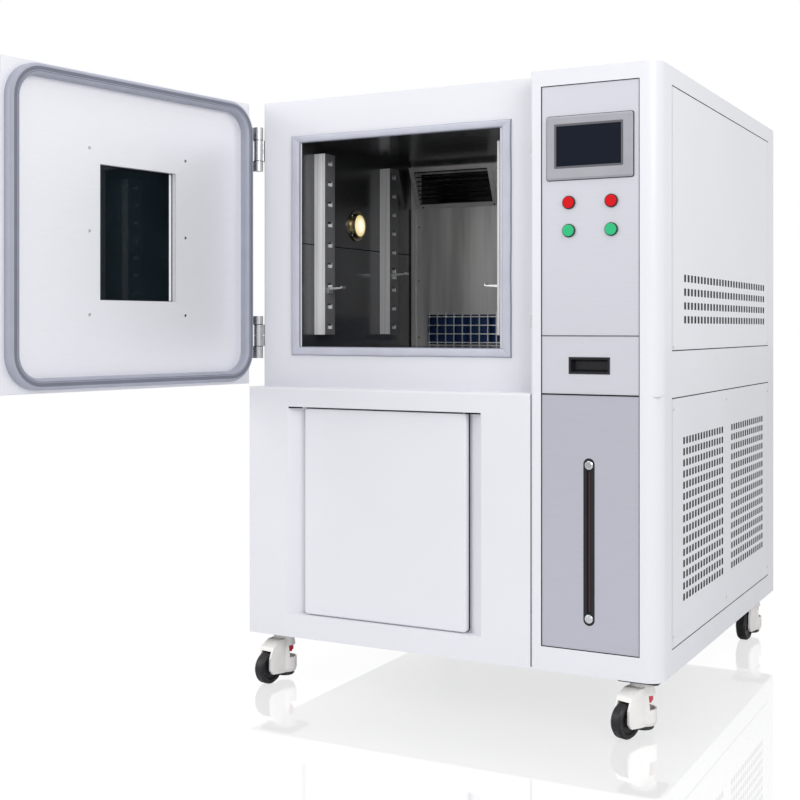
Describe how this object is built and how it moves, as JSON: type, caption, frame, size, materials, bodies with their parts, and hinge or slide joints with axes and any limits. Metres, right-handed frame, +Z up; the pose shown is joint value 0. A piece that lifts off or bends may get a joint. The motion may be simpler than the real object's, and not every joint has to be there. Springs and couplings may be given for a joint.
{
  "type": "environmental test chamber",
  "caption": "Floor standing climate test chamber on levelling castors with a hinged window door, stainless interior, control column, filling drawer and vented side panels.",
  "frame": {"origin": "floor level, in the middle of the object's bounding box in plan with the door standing open", "axes": "+Z up, the cabinet's front faces -Y and the control column is on the +X side"},
  "size_m": [1.304, 1.857, 1.481],
  "materials": {
    "painted_white": "satin",
    "stainless_brushed": "brushed",
    "stainless_door": "brushed",
    "plate_light": "brushed",
    "plate_grey": "brushed",
    "seal_grey": "matte",
    "bezel_grey": "matte",
    "screen_dark": "glossy",
    "black_plastic": "matte",
    "red_plastic": "glossy",
    "green_plastic": "glossy",
    "chrome_bright": "polished",
    "pane_dark": "glossy",
    "lamp_glass": "glossy",
    "foam": "matte",
    "fin_blue": "satin",
    "steel_black": "matte",
    "cast_white": "satin",
    "tyre_black": "matte",
    "foot_red": "glossy",
    "cast_dark": "matte"
  },
  "bodies": {
    "cabinet": {"base_tray": "painted_white", "base_front": "painted_white", "column_shell": "painted_white", "right_upper_panel": "painted_white", "right_lower_panel": "painted_white", "left_roof_sheet": "painted_white", "rear_panel": "painted_white", "chamber_front": "painted_white", "insulation": "foam", "chamber_liner": "stainless_brushed", "mouth_gasket": "seal_grey", "rack_uprights": "stainless_brushed", "shelf_pegs": "stainless_brushed", "air_baffle": "stainless_brushed", "outlet_hoods": "stainless_brushed", "return_grid": "stainless_brushed", "cooling_coil": "fin_blue", "fan_motor": "cast_dark", "lamp_housing": "stainless_brushed", "lamp_glass": "lamp_glass", "control_plate": "plate_light", "hmi_bezel": "bezel_grey", "hmi_screen": "screen_dark", "button_rings": "black_plastic", "indicator_cap": "red_plastic", "lower_plate": "plate_grey", "level_gauge": "black_plastic", "water_tank": "stainless_brushed", "cabinet_screws": "chrome_bright", "condensing_unit": "steel_black", "strike_plates": "chrome_bright", "cabinet_hinges": "stainless_brushed", "castor_plates": "steel_black"},
    "door": {"door_hinges": "stainless_brushed", "door_pan": "painted_white", "door_inner_panel": "stainless_door", "window_panes": "pane_dark", "door_gasket": "seal_grey", "door_screws": "chrome_bright"},
    "handle": {"door_handle": "chrome_bright"},
    "bolts": {"latch_bolts": "stainless_brushed"},
    "fan": {"fan_impeller": "stainless_brushed"},
    "stop_button": {"stop_button": "red_plastic"},
    "start_button": {"start_button": "green_plastic"},
    "light_button": {"light_button": "green_plastic"},
    "drawer": {"water_drawer": "plate_light", "drawer_pull": "black_plastic"},
    "cover": {"machine_cover": "painted_white"},
    "castor_housing_fl": {"castor_housing_fl": "cast_white"},
    "castor_wheel_fl": {"castor_wheel_fl": "tyre_black"},
    "castor_foot_fl": {"castor_foot_fl": "foot_red"},
    "castor_housing_fr": {"castor_housing_fr": "cast_white"},
    "castor_wheel_fr": {"castor_wheel_fr": "tyre_black"},
    "castor_foot_fr": {"castor_foot_fr": "foot_red"},
    "castor_housing_rr": {"castor_housing_rr": "cast_white"},
    "castor_wheel_rr": {"castor_wheel_rr": "tyre_black"},
    "castor_foot_rr": {"castor_foot_rr": "foot_red"},
    "castor_housing_rl": {"castor_housing_rl": "cast_white"},
    "castor_wheel_rl": {"castor_wheel_rl": "tyre_black"},
    "castor_foot_rl": {"castor_foot_rl": "foot_red"}
  },
  "joints": [
    {"name": "door_hinge", "type": "hinge", "parent": "cabinet", "child": "door", "pos_m": [-0.43553, -0.16247, 1.12], "axis": [0, 0, 1], "range_deg": [-21, 99]},
    {"name": "handle_turn", "type": "hinge", "parent": "door", "child": "handle", "pos_m": [-0.62639, -0.8433, 1.112], "axis": [0.9877, -0.1564, 0], "range_deg": [0, 90]},
    {"name": "bolt_throw", "type": "slide", "parent": "door", "child": "bolts", "axis": [-0.1564, -0.9877, 0], "range_m": [0, 0.012]},
    {"name": "fan_spin", "type": "hinge", "parent": "cabinet", "child": "fan", "pos_m": [-0.03123, 0.54553, 1.195], "axis": [0, 1, 0], "continuous": true},
    {"name": "stop_press", "type": "slide", "parent": "cabinet", "child": "stop_button", "axis": [0, 1, 0], "range_m": [0, 0.003], "stiffness_N_per_m": 800},
    {"name": "start_press", "type": "slide", "parent": "cabinet", "child": "start_button", "axis": [0, 1, 0], "range_m": [0, 0.003], "stiffness_N_per_m": 800},
    {"name": "light_press", "type": "slide", "parent": "cabinet", "child": "light_button", "axis": [0, 1, 0], "range_m": [0, 0.003], "stiffness_N_per_m": 800},
    {"name": "drawer_slide", "type": "slide", "parent": "cabinet", "child": "drawer", "axis": [0, -1, 0], "range_m": [0, 0.18]},
    {"name": "cover_pull", "type": "slide", "parent": "cabinet", "child": "cover", "axis": [0, -1, 0], "range_m": [0, 0.25]},
    {"name": "castor_swivel_fl", "type": "hinge", "parent": "cabinet", "child": "castor_housing_fl", "pos_m": [-0.35623, -0.15847, 0.118], "axis": [0, 0, 1], "continuous": true},
    {"name": "castor_roll_fl", "type": "hinge", "parent": "castor_housing_fl", "child": "castor_wheel_fl", "pos_m": [-0.36593, -0.21971, 0.04], "axis": [0.9877, -0.1564, 0], "continuous": true},
    {"name": "castor_level_fl", "type": "slide", "parent": "castor_housing_fl", "child": "castor_foot_fl", "axis": [0, 0, -1], "range_m": [0, 0.011]},
    {"name": "castor_swivel_fr", "type": "hinge", "parent": "cabinet", "child": "castor_housing_fr", "pos_m": [0.59477, -0.16847, 0.118], "axis": [0, 0, 1], "continuous": true},
    {"name": "castor_roll_fr", "type": "hinge", "parent": "castor_housing_fr", "child": "castor_wheel_fr", "pos_m": [0.57356, -0.22673, 0.04], "axis": [0.9397, -0.342, 0], "continuous": true},
    {"name": "castor_level_fr", "type": "slide", "parent": "castor_housing_fr", "child": "castor_foot_fr", "axis": [0, 0, -1], "range_m": [0, 0.011]},
    {"name": "castor_swivel_rr", "type": "hinge", "parent": "cabinet", "child": "castor_housing_rr", "pos_m": [0.59877, 0.86753, 0.118], "axis": [0, 0, 1], "continuous": true},
    {"name": "castor_roll_rr", "type": "hinge", "parent": "castor_housing_rr", "child": "castor_wheel_rr", "pos_m": [0.59444, 0.80568, 0.04], "axis": [0.9976, -0.0698, 0], "continuous": true},
    {"name": "castor_level_rr", "type": "slide", "parent": "castor_housing_rr", "child": "castor_foot_rr", "axis": [0, 0, -1], "range_m": [0, 0.011]},
    {"name": "castor_swivel_rl", "type": "hinge", "parent": "cabinet", "child": "castor_housing_rl", "pos_m": [-0.36323, 0.86753, 0.118], "axis": [0, 0, 1], "continuous": true},
    {"name": "castor_roll_rl", "type": "hinge", "parent": "castor_housing_rl", "child": "castor_wheel_rl", "pos_m": [-0.35034, 0.80688, 0.04], "axis": [0.9781, 0.2079, 0], "continuous": true},
    {"name": "castor_level_rl", "type": "slide", "parent": "castor_housing_rl", "child": "castor_foot_rl", "axis": [0, 0, -1], "range_m": [0, 0.011]}
  ],
  "couplings": [
    {"joint": "bolt_throw", "follows": "handle_turn", "m_per_rad": 0.0076394}
  ]
}
